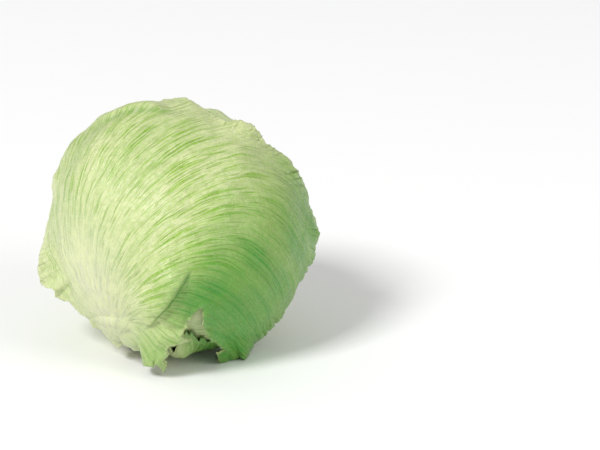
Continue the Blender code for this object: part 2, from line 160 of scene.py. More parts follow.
# How each leaf lies. Reaches and bearings are in degrees, as seen from the middle of the leaf, and
# a bearing is 0 towards the base, 90 to the right and 180 at the tip. A crease is a ridge that is
# soft on its left side and steep on its right, from start to end. A flare lifts the margin near a
# bearing, from its zone of the reach outwards, and a bulge lifts the leaf round a chart point. A
# lobe adds its share to the reach near a bearing. A tear runs up straight, side to the right of the
# chart's middle, to its apex, and closes past it. Only the front leaf passes over the cut stem.
Crease = namedtuple("Crease", "start end height soft steep")
Flare = namedtuple("Flare", "bearing spread height zone")
Bulge = namedtuple("Bulge", "x y width length height")
Lobe = namedtuple("Lobe", "bearing spread share")
Tear = namedtuple("Tear", "side apex closes")
Leaf = namedtuple(
    "Leaf",
    "name azimuth left right crown rib_turn phase wave creases flares bulges lobes tear over_stem",
    defaults=(0.0, 0.0, 0.0026, (), (), (), (), None, False),
)
MM = 0.001
LEAVES = (
    Leaf("inner_leaf_left", azimuth=-72, left=84, right=82, crown=104, rib_turn=8, phase=5.2),
    Leaf("inner_leaf_back", azimuth=105, left=84, right=84, crown=98, rib_turn=-9, phase=3.9),
    Leaf("inner_leaf_right", azimuth=32, left=84, right=84, crown=92, rib_turn=7, phase=0.8),
    Leaf(
        "outer_leaf_left",
        azimuth=-126,
        left=80,
        right=76,
        crown=84,
        rib_turn=-10,
        phase=2.6,
        wave=4.2 * MM,
        flares=(
            Flare(bearing=-118, spread=34, height=5.5 * MM, zone=0.62),
            Flare(bearing=62, spread=30, height=3.5 * MM, zone=0.70),
        ),
    ),
    Leaf(
        "outer_leaf_back",
        azimuth=165,
        left=82,
        right=80,
        crown=80,
        rib_turn=16,
        phase=1.3,
        wave=4.2 * MM,
        flares=(
            Flare(bearing=-25, spread=10, height=9.0 * MM, zone=0.72),
            Flare(bearing=140, spread=34, height=5.5 * MM, zone=0.66),
        ),
        bulges=(Bulge(-47 * MM, -101 * MM, 13 * MM, 13 * MM, 7.0 * MM),),
        lobes=(Lobe(bearing=-28, spread=11, share=0.17), Lobe(bearing=-31, spread=3, share=0.05)),
    ),
    Leaf(
        "front_leaf",
        azimuth=0,
        left=97,
        right=101,
        crown=60,
        rib_turn=-41,
        phase=0.2,
        wave=3.0 * MM,
        creases=(
            Crease((8.5 * MM, -70 * MM), (14.5 * MM, -32 * MM), 5.0 * MM, 15 * MM, 2.0 * MM),
            Crease((-92 * MM, 46 * MM), (-44 * MM, 66 * MM), 3.8 * MM, 14 * MM, 4.5 * MM),
        ),
        flares=(
            Flare(bearing=-44, spread=10, height=11.0 * MM, zone=0.76),
            Flare(bearing=50, spread=13, height=11.0 * MM, zone=0.72),
            Flare(bearing=104, spread=24, height=4.5 * MM, zone=0.74),
            Flare(bearing=150, spread=26, height=2.5 * MM, zone=0.80),
        ),
        bulges=(Bulge(26 * MM, -108 * MM, 15 * MM, 33 * MM, 14 * MM),),
        lobes=(
            Lobe(bearing=-3, spread=11, share=0.11),
            Lobe(bearing=12.5, spread=6, share=-0.085),
            Lobe(bearing=18, spread=5, share=-0.080),
            Lobe(bearing=150, spread=26, share=-0.16),
        ),
        tear=Tear(side=31 * MM, apex=36, closes=41),
        over_stem=True,
    ),
)
# The tear's outline on the front leaf's chart: up its left side, over its apex and back. Its edge
# wanders in broad and in small waves, and the wedge that cuts it reaches through the leaf.
TEAR_OUTLINE = MM * np.array(
    [
        (46, -150), (34, -95), (28, -85), (27, -77), (39, -70), (31, -66), (31, -56), (34, -46),
        (42, -58), (51, -67), (66, -72), (74, -77), (69, -80), (78, -90), (100, -140),
    ]
)
TEAR_STEP = 0.0009
TEAR_WANDER = 0.0022
TEAR_BROAD_WAVE = 0.0034
TEAR_SMALL_WAVE = 0.0013
TEAR_INSIDE = 0.75
TEAR_OUTSIDE = 1.6

# The crumpled blade beside the tear: its middle on the chart, its radius, how far it reaches along
# the torn edge, and the width and length of its cells
CRUMPLE_PLACE = (22 * MM, -66 * MM)
CRUMPLE_RADIUS = 0.020
CRUMPLE_EDGE = 0.009
CRUMPLE_CELLS = (0.0050, 0.0060)
CRUMPLE_GRAIN = 0.0024

# The loose flap at the foot of the front leaf, which is greener than the foot beside it
FLAP_PLACE = (0.023, -0.090)
FLAP_RADIUS = 0.019

# Painted shade: a dark line along a crease, at the foot of its steep side. Its place and spread are
# shares of the crease's steep side.
FOLD_SHADE_WIDTH = 0.0017
FOLD_SHADE_WANDER = 0.0028
FOLD_SHADE_WAVE = 0.009
FOLD_SHADE_PLACE = 1.1
FOLD_SHADE_SPREAD = 0.55

# Where a leaf's colours lie, from the foot of its midrib outwards. A pair of values is where a
# change starts and where it is complete.
PALE_WIDTH = 0.014
PALE_WIDENING = 0.24
PALE_END = (0.05, 0.15)
BASE_RADIUS = 0.034
# Painted shade round the foot of the midrib reaches about this far
FOOT_SHADE_RADIUS = 0.019
DEEP_START = (0.038, 0.072)
DEEP_END = (0.085, 0.135)
DEEP_TURN = (42.0, 76.0)
CROWN_BEARINGS = (100.0, 150.0)
CROWN_SHARES = (0.45, 0.90)
EDGE_SHARES = (0.88, 1.0)
TORN_EDGE = 0.0035

HEART_LEAVES = (
    Leaf("heart_leaf_a", azimuth=20, left=70, right=74, crown=84),
    Leaf("heart_leaf_b", azimuth=150, left=72, right=70, crown=96),
    Leaf("heart_leaf_c", azimuth=-95, left=70, right=72, crown=88),
)

# Veins leave the foot of a leaf as a fan and turn aside as they run out. On the front leaf, which
# is wound round the head, they all turn to the right: (degrees round the foot, turning there).
FAN_FOOT = (0.0, -77.0)
FAN_RADIUS = 87.0
FAN_POWER = 0.6
FAN_OPENING = 1.1
FAN_STEPS = 721
FRONT_FOOT = (-4.0, -75.0)
FRONT_TURNING = (
    (-90, 0.34),
    (-40, 0.34),
    (-18, 0.62),
    (0, 0.65),
    (14, 0.8),
    (21, 1.1),
    (31, 2.6),
    (50, 2.2),
    (75, 0.8),
    (120, 0.5),
)

# Length of the raised veins' wander, and sizes of the puckers between them
VEIN_WAVE = 0.013
PUCKER_WIDTH = 0.0085
PUCKER_LENGTH = 0.022
ROUND_PUCKER = 0.008

# Lights
KEY_PLACE = (-3.8, -4.0, 5.4)
KEY_SIZE = 2.0
FILL_PLACE = (2.4, -1.6, 1.8)
FILL_SIZE = 1.6

# Steps after which the lattices of random values repeat
LATTICE = 64

# What each vertex keeps for the finish, besides the lines that its UV map holds
FINISH_VALUES = ("level", "pale", "deep", "edge", "fold", "vein")


class LettuceShape(bpy.types.PropertyGroup):
    """Sizes of the leaves' fine forms"""

    blade_thickness: FloatProperty(
        name="Blade thickness",
        description="Thickness of a leaf between its veins",
        default=0.0009,
        min=0.0006,
        unit="LENGTH",
    )
    rib_height: FloatProperty(
        name="Midrib height",
        description="How far the midrib stands out of the blade at the stem",
        default=0.0038,
        unit="LENGTH",
    )
    vein_spacing: FloatProperty(
        name="Vein spacing",
        description="Distance at which one raised vein follows the next",
        default=0.0062,
        unit="LENGTH",
    )
    vein_height: FloatProperty(
        name="Vein height",
        description="How far the veins stand out of the blade",
        default=0.00032,
        unit="LENGTH",
    )
    pucker_height: FloatProperty(
        name="Pucker height",
        description="How far the blade bulges between its veins",
        default=0.0009,
        unit="LENGTH",
    )
    tooth_depth: FloatProperty(
        name="Tooth depth",
        description="Depth of the teeth along a leaf's margin, as a share of its reach",
        default=0.040,
        subtype="FACTOR",
    )
    ruffle_height: FloatProperty(
        name="Ruffle height",
        description="How far an open margin's small ruffles rise",
        default=0.0012,
        unit="LENGTH",
    )
    crumple_height: FloatProperty(
        name="Crumple height",
        description="How far the flap beside the tear is crumpled",
        default=0.0026,
        unit="LENGTH",
    )
    front_grid: IntProperty(
        name="Front leaf detail",
        description="Grid cells across the front leaf",
        default=214,
    )
    outer_grid: IntProperty(
        name="Outer leaf detail",
        description="Grid cells across each other outer leaf",
        default=178,
    )
    inner_grid: IntProperty(
        name="Inner leaf detail",
        description="Grid cells across each inner leaf",
        default=130,
    )
    heart_detail: IntProperty(
        name="Heart detail",
        description="Subdivisions of the heart's ball",
        default=6,
    )
    stem_sides: IntProperty(
        name="Stem sides",
        description="Steps round the stem",
        default=96,
    )


class LettuceColours(bpy.types.PropertyGroup):
    """Colours of leaves and stem"""

    rib: FloatVectorProperty(
        name="Midrib",
        description="Cream of the midrib and of the blade beside it",
        default=(0.60, 0.61, 0.45),
        subtype="COLOR",
    )
    vein: FloatVectorProperty(
        name="Veins",
        description="Whitish green of the veins",
        default=(0.68, 0.715, 0.405),
        subtype="COLOR",
    )
    blade: FloatVectorProperty(
        name="Blade",
        description="Light green of most of the outer leaves",
        default=(0.255, 0.448, 0.040),
        subtype="COLOR",
    )
    deep: FloatVectorProperty(
        name="Deep green",
        description="Green of the leaf far from its midrib",
        default=(0.038, 0.268, 0.016),
        subtype="COLOR",
    )
    inner: FloatVectorProperty(
        name="Inner blade",
        description="Yellower green of the leaves that lay under others",
        default=(0.29, 0.49, 0.12),
        subtype="COLOR",
    )
    heart: FloatVectorProperty(
        name="Heart",
        description="Pale yellow-green of the packed heart",
        default=(0.56, 0.60, 0.29),
        subtype="COLOR",
    )
    stem: FloatVectorProperty(
        name="Stem",
        description="Off-white of the stem",
        default=(0.66, 0.67, 0.46),
        subtype="COLOR",
    )
    cut: FloatVectorProperty(
        name="Cut",
        description="Light brown of the dried cut",
        default=(0.50, 0.40, 0.24),
        subtype="COLOR",
    )
    table: FloatVectorProperty(
        name="Table",
        description="Near white of the table",
        default=(0.95, 0.95, 0.95),
        subtype="COLOR",
    )


class LettuceStage(bpy.types.PropertyGroup):
    """Camera and light"""

    camera_elevation: FloatProperty(
        name="Camera elevation",
        description="Angle of the view above level",
        default=math.radians(20.0),
        subtype="ANGLE",
    )
    camera_distance: FloatProperty(
        name="Camera distance",
        description="Distance from the camera to the middle of the head",
        default=1.5,
        unit="LENGTH",
    )
    view_width: FloatProperty(
        name="View width",
        description="Width of the picture at the head",
        default=0.357,
        unit="LENGTH",
    )
    view_shift: FloatProperty(
        name="View shift",
        description="How far left of the middle the head stands, as a share of the width",
        default=0.205,
        subtype="FACTOR",
    )
    view_rise: FloatProperty(
        name="View rise",
        description="How far below the middle the head stands, as a share of the width",
        default=0.0033,
        subtype="FACTOR",
    )
    key_power: FloatProperty(
        name="Key light",
        description="Power of the large soft light, in watts",
        default=440.0,
    )
    fill_power: FloatProperty(
        name="Fill light",
        description="Power of the light from the other side, in watts",
        default=24.0,
    )
    sky_strength: FloatProperty(
        name="Surrounding light",
        description="Strength of the white surroundings",
        default=0.5,
    )
    table_size: FloatProperty(
        name="Table size",
        description="Side of the square table",
        default=9.0,
        unit="LENGTH",
    )


def smooth(low, high, value):
    """0 below low, 1 above high, and an even S between them."""
    share = np.clip((value - low) / (high - low), 0.0, 1.0)
    return share * share * (3.0 - 2.0 * share)


def smaller(first, second, blend):
    """The lesser of two lengths, rounded off where they meet."""
    share = np.clip(0.5 + 0.5 * (second - first) / blend, 0.0, 1.0)
    return second + (first - second) * share - blend * share * (1.0 - share)


def bell(distance, width):
    """1 at no distance, and ever less to both sides."""
    return np.exp(-((distance / width) ** 2))


def angle(cosine):
    """The angle with this cosine, which rounding may have taken past 1."""
    return np.arccos(np.clip(cosine, -1.0, 1.0))


@functools.cache
def lattice(seed):
    """Random values on a square lattice."""
    return np.random.default_rng(seed).random((LATTICE, LATTICE))


def cloud(seed, u, v):
    """Smooth random values from 0 to 1 over u and v, changing about once a unit."""
    values = lattice(seed)
    column, row = np.floor(u).astype(int), np.floor(v).astype(int)
    right, up = smooth(0.0, 1.0, u - column), smooth(0.0, 1.0, v - row)
    near, far = (
        values[column % LATTICE, line % LATTICE] * (1.0 - right)
        + values[(column + 1) % LATTICE, line % LATTICE] * right
        for line in (row, row + 1)
    )
    return near * (1.0 - up) + far * up


def spots(seed, x, y, size, shift):
    """Smooth random values over a surface, changing about once in size. Shift moves them on it."""
    return cloud(seed, x / size + shift, y / size + shift)


def round_cloud(seed, bearing, count):
    """Smooth random values round a leaf that change count times a turn."""
    values = np.random.default_rng(seed).random(count)
    place = (bearing / 360.0 % 1.0) * count
    index = np.floor(place).astype(int)
    blend = smooth(0.0, 1.0, place - index)
    return values[index % count] * (1.0 - blend) + values[(index + 1) % count] * blend


def head_axes():
    """Columns: the head's front, its right side and its crown, in world axes."""
    tilt, heading, rise = map(math.radians, (CROWN_TILT, CROWN_HEADING, FRONT_RISE))
    level = np.array((math.cos(heading), math.sin(heading), 0.0))
    crown = math.sin(tilt) * level + np.array((0.0, 0.0, math.cos(tilt)))
    front = np.array((0.0, -math.cos(rise), math.sin(rise)))
    front -= crown * front.dot(crown)
    front /= np.linalg.norm(front)
    return np.column_stack((front, np.cross(crown, front), crown))


AXES = head_axes()
DOWN = -AXES[2]
PLACE = Matrix.Translation(HEAD_CENTRE) @ Matrix(AXES.tolist()).to_4x4()


def direction(polar, azimuth):
    """The unit vector at a polar angle from the stem and an azimuth, in degrees."""
    polar, azimuth = math.radians(polar), math.radians(azimuth)
    level = np.array((math.cos(azimuth), math.sin(azimuth), 0.0))
    return math.sin(polar) * level - np.array((0.0, 0.0, math.cos(polar)))


def leaf_frame(leaf):
    """The middle of the leaf's chart on the unit ball, and its x and y directions there."""
    middle = direction(LEAF_POLAR, leaf.azimuth)
    tip_side = direction(LEAF_POLAR + 90.0, leaf.azimuth)
    return middle, np.cross(tip_side, middle), tip_side


def from_chart(leaf, x, y):
    """Unit vectors for chart points."""
    middle, right, up = leaf_frame(leaf)
    arc = np.hypot(x, y)
    share = np.sin(arc / CHART_RADIUS) / np.maximum(arc, 1e-9)
    return np.cos(arc / CHART_RADIUS)[:, None] * middle + share[:, None] * (
        x[:, None] * right + y[:, None] * up
    )


def to_chart(leaf, points):
    """Chart points for unit vectors."""
    middle, right, up = leaf_frame(leaf)
    across, along = points @ right, points @ up
    arc = angle(points @ middle) * CHART_RADIUS
    share = arc / np.maximum(np.hypot(across, along), 1e-9)
    return across * share, along * share


def bearing_of(x, y):
    """Degrees round the leaf: 0 towards its base, 90 to its right, 180 at its tip."""
    return np.degrees(np.arctan2(x, -y))


def at_bearing(bearing, arc):
    """The chart point in the direction of a bearing, at this length of arc from the middle."""
    turn = np.radians(bearing)
    return arc * np.sin(turn), -arc * np.cos(turn)


def near(bearing, place, widened=1.0):
    """1 at a flare's or a lobe's own bearing, and ever less to both sides."""
    turn = (bearing - place.bearing + 180.0) % 360.0 - 180.0
    return bell(turn, widened * place.spread)


def stem_limit(bearing):
    """How far a leaf can reach before it meets the stem, in radians of arc."""
    polar, turn = math.radians(LEAF_POLAR), np.radians(bearing)
    size = np.hypot(math.cos(polar), math.sin(polar) * np.cos(turn))
    to_foot = np.arctan2(math.sin(polar) * np.cos(turn), math.cos(polar))
    nearest = (1.0 - BUTT_TAPER) * BALL_RADIUS
    edge = math.cos(math.asin((STEM_RADIUS + STEM_GAP) / nearest))
    meets = (edge < size) & (np.cos(turn) > 0.0)
    return np.where(meets, to_foot - np.arccos(np.minimum(edge / size, 1.0)), math.pi)


def reach(leaf, bearing, stem_turn=0.0, torn=True):
    """The leaf's outline: the length of arc from the chart's middle to its margin."""
    side = np.where(bearing < 0.0, leaf.left, leaf.right)
    end = np.where(np.abs(bearing) < 90.0, BASE_REACH, leaf.crown)
    turn = np.radians(bearing)
    far = end + (side - end) * np.abs(np.sin(turn))
    for waves, share, phase in MARGIN_WAVES:
        far = far * (1.0 + share * np.sin(waves * turn + phase + leaf.phase * waves))
    far = np.radians(far)
    for lobe in leaf.lobes:
        far = far * (1.0 + lobe.share * near(bearing, lobe))
    if leaf.tear and torn:
        side = leaf.tear.side / CHART_RADIUS
        cut = np.where(bearing > 0.0, side / np.maximum(np.sin(turn), 1e-3), math.pi)
        whole = smooth(leaf.tear.apex, leaf.tear.closes, bearing)
        far = np.minimum(far, cut) * (1.0 - whole) + far * whole
    limit = math.pi if leaf.over_stem else stem_limit(bearing + stem_turn)
    return np.minimum(far, limit) * CHART_RADIUS


def fine_reach(leaf, bearing):
    """The outline before it tore, with no jump where it leaves the stem's side."""
    turns = np.linspace(-STEM_EASING, STEM_EASING, STEM_EASING_STEPS)
    return sum(reach(leaf, bearing, turn, torn=False) for turn in turns) / len(turns)


@functools.cache
def margin(leaf):
    """Unit vectors at even spaces along the leaf's outline."""
    bearing = np.linspace(-180.0, 180.0, MARGIN_STEPS)
    x, y = at_bearing(bearing, reach(leaf, bearing))
    run = np.concatenate(((0.0,), np.cumsum(np.hypot(np.diff(x), np.diff(y)))))
    places = np.arange(0.0, run[-1], MARGIN_SPACING)
    return from_chart(leaf, np.interp(places, run, x), np.interp(places, run, y))


def outside(leaf, points):
    """How far points are from the leaf's outline, and less than 0 on the leaf."""
    edge = margin(leaf).T
    blocks = [points[start : start + CHUNK] for start in range(0, len(points), CHUNK)]
    nearest = np.concatenate([np.max(block @ edge, axis=1) for block in blocks])
    away = angle(nearest) * CHART_RADIUS
    x, y = to_chart(leaf, points)
    return np.where(np.hypot(x, y) < reach(leaf, bearing_of(x, y)), -away, away)


def rib_axes(leaf, x, y):
    """Lengths across the leaf's midrib and along it from the stem."""
    turn = math.radians(leaf.rib_turn)
    foot = -math.radians(LEAF_POLAR) * CHART_RADIUS
    across = x * math.cos(turn) - (y - foot) * math.sin(turn)
    along = x * math.sin(turn) + (y - foot) * math.cos(turn)
    return across, along


def leaf_thickness(shape, leaf, x, y):
    """Blade and midrib. The rib is thickest where it leaves the stem."""
    across, along = rib_axes(leaf, x, y)
    share = np.clip(along / RIB_LENGTH, 0.0, 1.0)
    half_width = RIB_HALF_WIDTH + (RIB_TIP_HALF_WIDTH - RIB_HALF_WIDTH) * share
    rib = (1.0 - share) ** 1.5 * bell(across, half_width)
    return shape.blade_thickness + shape.rib_height * rib


def layers(shape, leaves, points, away):
    """The height that these leaves and the gaps under them add over each point."""
    total = np.zeros(len(points))
    for leaf in leaves:
        thick = leaf_thickness(shape, leaf, *to_chart(leaf, points)) + LEAF_GAP
        total += thick * (1.0 - smooth(COVER_NEAR, COVER_FAR, away[leaf.name]))
    return total


def ball(points):
    """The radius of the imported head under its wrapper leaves."""
    polar = angle(-points[:, 2])
    azimuth = np.arctan2(points[:, 1], points[:, 0])
    taper = BUTT_TAPER * bell(np.degrees(polar), BUTT_TAPER_WIDTH)
    flattening = CROWN_FLATTENING * smooth(CROWN_START, math.pi, polar)
    lumps = np.sin(3.0 * azimuth + 0.8) * np.sin(polar) ** 2 * np.cos(2.0 * polar)
    lumps += 0.7 * np.sin(2.0 * azimuth - 1.1 + 2.0 * polar) * np.sin(polar)
    radius = BALL_RADIUS * (1.0 - taper - flattening) + LUMP_HEIGHT * lumps
    for bulge_polar, bulge_azimuth, spread, height in BALL_BULGES:
        away = angle(points @ direction(bulge_polar, bulge_azimuth))
        radius += height * bell(np.degrees(away), spread)
    return radius


def pressed(radius, above, points):
    """The radius once the table has flattened the head, with this much leaf still above it."""
    drop = np.maximum(points @ DOWN, 1e-3)
    limit = (HEAD_CENTRE[2] + PRESS_DEPTH - above) / drop
    return smaller(radius, limit, PRESS_BLEND)


def held_off_stem(radius, points):
    """The radius of a leaf that passes over the stem, let out to lie on its cut."""
    polar = angle(-points[:, 2])
    rim = math.atan((STEM_RADIUS + STEM_LEVEL) / -STEM_CUT)
    least = (STEM_CLEARANCE - STEM_CUT) / np.cos(np.minimum(polar, rim))
    return -smaller(-radius, -least * (1.0 - smooth(rim, 2.0 * rim, polar)), STEM_BLEND)


def crease_axes(crease, x, y):
    """Lengths along a crease and out from its steep side, and the crease's own length."""
    (x0, y0), (x1, y1) = crease.start, crease.end
    length = math.hypot(x1 - x0, y1 - y0)
    run, rise = (x1 - x0) / length, (y1 - y0) / length
    return (x - x0) * run + (y - y0) * rise, (x - x0) * rise - (y - y0) * run, length


def ridge(crease, x, y):
    """The height of a crease over chart points. It fades out at both ends."""
    along, side, length = crease_axes(crease, x, y)
    width = np.where(side < 0.0, crease.soft, crease.steep)
    fade = smooth(-crease.soft, crease.soft, along)
    fade = fade * (1.0 - smooth(length - 0.5 * crease.soft, length + 0.5 * crease.soft, along))
    return crease.height * fade * bell(side, width)


def fold_shade_line(crease, x, y):
    """Painted shade, most along the foot of a crease's steep side, where little light falls."""
    along, side, length = crease_axes(crease, x, y)
    side = side - FOLD_SHADE_PLACE * crease.steep
    side += FOLD_SHADE_WANDER * (cloud(95, along / FOLD_SHADE_WAVE + 30.0, 0.0 * along) - 0.5)
    fade = smooth(-0.2 * length, 0.4 * length, along) * (1.0 - smooth(length, 1.15 * length, along))
    return fade * FOLD_SHADE_WIDTH / crease.steep * bell(side, FOLD_SHADE_SPREAD * crease.steep)


def tear_distance(x, y):
    """How far chart points are from the tear's outline."""
    nearest = np.full(len(x), 1.0)
    for (x0, y0), (x1, y1) in zip(TEAR_OUTLINE, TEAR_OUTLINE[1:]):
        run, rise = x1 - x0, y1 - y0
        share = np.clip(((x - x0) * run + (y - y0) * rise) / (run * run + rise * rise), 0.0, 1.0)
        nearest = np.minimum(nearest, np.hypot(x - x0 - share * run, y - y0 - share * rise))
    return nearest


def open_to_air(outer, away):
    """1 where no outer leaf lies near, and 0 under one."""
    free = 1.0
    for leaf in outer:
        free = free * smooth(OPEN_NEAR, OPEN_FAR, away[leaf.name])
    return free


def lift(shape, number, x, y, bearing, share):
    """How far a leaf stands off the leaves under it: waves, flares, creases and ruffles."""
    leaf = LEAVES[number]
    waves = 0.5 + 0.5 * np.sin(np.radians(LIFT_WAVES * bearing) + leaf.phase)
    height = leaf.wave * waves * smooth(MARGIN_ZONE, 1.0, share) ** 2
    for flare in leaf.flares:
        height += flare.height * near(bearing, flare) * smooth(flare.zone, FLARE_END, share) ** 1.3
    for crease in leaf.creases:
        height += ridge(crease, x, y)
    broad = round_cloud(40 + number, bearing, BROAD_RUFFLES) * smooth(0.80, 1.0, share) ** 1.5
    small = round_cloud(50 + number, bearing, SMALL_RUFFLES) * smooth(0.92, 1.0, share) ** 1.5
    height += shape.ruffle_height * (broad + 0.6 * small)
    if leaf.tear:
        crumple = bell(np.hypot(x - CRUMPLE_PLACE[0], y - CRUMPLE_PLACE[1]), CRUMPLE_RADIUS)
        crumple = np.maximum(crumple, 1.0 - smooth(0.0, CRUMPLE_EDGE, tear_distance(x, y)))
        cells = cloud(81, x / CRUMPLE_CELLS[0] + 30.0, y / CRUMPLE_CELLS[1] + 30.0)
        cells = cells + 0.5 * spots(82, x, y, CRUMPLE_GRAIN, 0.0)
        height += shape.crumple_height * crumple * cells
    return height


def bulging(leaf, x, y):
    """The height of a leaf's bulges, which it keeps even under another leaf."""
    height = 0.0 * x
    for bulge in leaf.bulges:
        away = ((x - bulge.x) / bulge.width) ** 2 + ((y - bulge.y) / bulge.length) ** 2
        height += bulge.height * np.exp(-away)
    return height


def teeth(shape, number, bearing):
    """The margin's own small teeth, as a share of the reach: points outwards, hollows between."""
    broad = 1.0 - np.abs(2.0 * round_cloud(10 + number, bearing, BROAD_TEETH) - 1.0)
    small = 1.0 - np.abs(2.0 * round_cloud(20 + number, bearing, SMALL_TEETH) - 1.0)
    bold = 1.0
    for flare in LEAVES[number].flares:
        bold = bold + FLARE_TEETH * flare.height * near(bearing, flare, BOLD_REACH)
    for lobe in LEAVES[number].lobes:
        bold = bold + LOBE_TEETH * near(bearing, lobe, BOLD_REACH)
    return shape.tooth_depth * bold * ((broad - 0.55) + 0.70 * (small - 0.5))


def fan_axes(leaf, x, y):
    """Degrees round the foot that the veins leave, and the distance from it in fan radii."""
    foot = FRONT_FOOT if leaf.name == "front_leaf" else FAN_FOOT
    right, up = x / DEGREE - foot[0], y / DEGREE - foot[1]
    return np.degrees(np.arctan2(right, up)), np.hypot(right, up) / FAN_RADIUS


def vein_lines(leaf, x, y):
    """A number that stays the same along a vein, and the distance from the leaf's foot."""
    turn, run = fan_axes(leaf, x, y)
    turned = run**FAN_POWER / FAN_POWER
    if leaf.name != "front_leaf":
        return np.radians(turn - leaf.rib_turn) * np.exp(-FAN_OPENING * turned), run
    places = np.linspace(-180.0, 180.0, FAN_STEPS)
    bearings, turning = zip(*FRONT_TURNING)
    steps = math.radians(places[1] - places[0]) / np.interp(places, bearings, turning)
    return np.interp(turn, places, np.cumsum(steps)) - turned, run


def vein_level(leaf, x, y):
    """The base-2 logarithm of how many metres apart two veins are whose lines differ by one."""
    step = 0.2 * MM
    here = vein_lines(leaf, x, y)[0]
    right = vein_lines(leaf, x + step, y)[0] - here
    up = vein_lines(leaf, x, y + step)[0] - here
    return -np.log2(np.maximum(np.hypot(right, up) / step, 1e-3))


def halving(pattern, lines, level):
    """A pattern across the veins, drawn twice as often where they have spread to twice the space."""
    step = np.floor(level)
    blend = smooth(0.0, 1.0, level - step)
    return pattern(lines * 2.0**step) * (1.0 - blend) + pattern(lines * 2.0 ** (step + 1.0)) * blend


def raised_veins(shape, leaf, x, y):
    """0 between the main veins and 1 on them."""
    lines = vein_lines(leaf, x, y)[0]
    level = vein_level(leaf, x, y)
    wander = spots(61, x, y, VEIN_WAVE, 30.0) - 0.5
    lines = lines + 0.9 * shape.vein_spacing * wander / 2.0**level
    level = np.maximum(level - math.log2(shape.vein_spacing), 0.0)
    return halving(lambda line: (0.5 + 0.5 * np.cos(2.0 * math.pi * line)) ** 2, lines, level)


def puckers(shape, leaf, x, y):
    """Bulges of the blade, longer along the veins than across them."""
    lines, run = vein_lines(leaf, x, y)
    level = np.maximum(vein_level(leaf, x, y) - math.log2(PUCKER_WIDTH), 0.0)
    run = run * FAN_RADIUS * DEGREE
    long = halving(lambda line: cloud(62, line + 20.0, run / PUCKER_LENGTH), lines, level)
    round_ones = spots(63, x, y, ROUND_PUCKER, 40.0)
    return shape.pucker_height * (0.45 * long + 0.55 * round_ones - 0.5)


def round_chart(a, b):
    """Square grid points moved onto the unit disc: their share of the reach, and bearing."""
    wide = np.abs(a) > np.abs(b)
    share = np.where(wide, a, b)
    safe = np.where(np.abs(share) < 1e-12, 1.0, share)
    turn = np.where(wide, b / safe, 2.0 - a / safe) * math.pi / 4.0
    return np.abs(share), bearing_of(share * np.cos(turn), share * np.sin(turn))


def leaf_surface(shape, number, share, bearing):
    """A leaf's inner face in the head's axes, its thickness there, and what its finish reads."""
    leaf, inner, outer = LEAVES[number], LEAVES[:number], LEAVES[number + 1 :]
    arc = share * fine_reach(leaf, bearing) * (1.0 + teeth(shape, number, bearing) * share**8)
    x, y = at_bearing(bearing, arc)
    points = from_chart(leaf, x, y)
    away = {other.name: outside(other, points) for other in (*inner, *outer)}
    thick = leaf_thickness(shape, leaf, x, y)
    free = open_to_air(outer, away)
    radius = ball(points) + layers(shape, inner, points, away) + OPEN_SLACK * free
    radius = pressed(radius, thick + layers(shape, outer, points, away), points)
    if leaf.over_stem:
        radius = held_off_stem(radius, points)
    from_foot = np.hypot(*rib_axes(leaf, x, y))
    loose = STEM_LIFT + (1.0 - STEM_LIFT) * smooth(LIFT_NEAR, LIFT_FAR, from_foot)
    raised = free * lift(shape, number, x, y, bearing, share)
    radius = radius + loose * (raised + bulging(leaf, x, y))
    clear = smooth(0.0, TABLE_FADE, HEAD_CENTRE[2] - radius * (points @ DOWN))
    radius = radius + (0.25 + 0.75 * free) * clear * puckers(shape, leaf, x, y)
    finish = leaf_finish(shape, leaf, x, y, share)
    thick += shape.vein_height * finish["vein"] * clear * (1.0 - 0.5 * finish["pale"])
    return points * radius[:, None], thick, finish


def leaf_finish(shape, leaf, x, y, share):
    """What a leaf's colours follow: veins, midrib, depth of green, margin, painted shade at creases
    and foot.
    """
    across, along = rib_axes(leaf, x, y)
    from_foot = np.hypot(across, along)
    width = PALE_WIDTH + PALE_WIDENING * np.maximum(along, 0.0)
    pale = bell(across, width) * (1.0 - smooth(*PALE_END, along))
    base = bell(from_foot, BASE_RADIUS)
    # Whiter at the margin and over the crown: partly paler thin tissue, partly painted highlight and
    # painted light shining through the thin margin
    crown = smooth(*CROWN_BEARINGS, np.abs(bearing_of(x, y))) * smooth(*CROWN_SHARES, share)
    edge = np.maximum(0.8 * smooth(*EDGE_SHARES, share), 0.45 * crown)
    ring = smooth(*DEEP_START, from_foot) * (1.0 - 0.25 * smooth(*DEEP_END, from_foot))
    deep = smooth(*DEEP_TURN, np.abs(fan_axes(leaf, x, y)[0] - leaf.rib_turn)) * ring
    if leaf.tear:
        edge = np.maximum(edge, 1.0 - smooth(0.0, TORN_EDGE, tear_distance(x, y)))
        flap = bell(np.hypot(x - FLAP_PLACE[0], y - FLAP_PLACE[1]), FLAP_RADIUS)
        pale = (1.0 - 0.8 * flap) * pale
        base = (1.0 - 0.8 * flap) * base
        edge = (1.0 - 0.6 * flap) * edge
        deep = np.maximum(deep, 0.6 * flap)
    crease_shades = [fold_shade_line(crease, x, y) for crease in leaf.creases]
    lines, run = vein_lines(leaf, x, y)
    return {
        "lines": lines,
        "run": run * FAN_RADIUS * DEGREE,
        "level": vein_level(leaf, x, y),
        "pale": 1.0 - (1.0 - pale) * (1.0 - base),
        "deep": deep,
        "edge": edge,
        # painted shade along the creases and round the midrib's foot
        "fold": np.minimum(sum(crease_shades, 0.25 * bell(from_foot, FOOT_SHADE_RADIUS)), 1.0),
        "vein": raised_veins(shape, leaf, x, y),
    }


def off_table(points, height):
    """Raises each point that is less than height above the table."""
    short = height - (HEAD_CENTRE[2] - points @ DOWN)
    return points - np.maximum(short, 0.0)[:, None] * DOWN


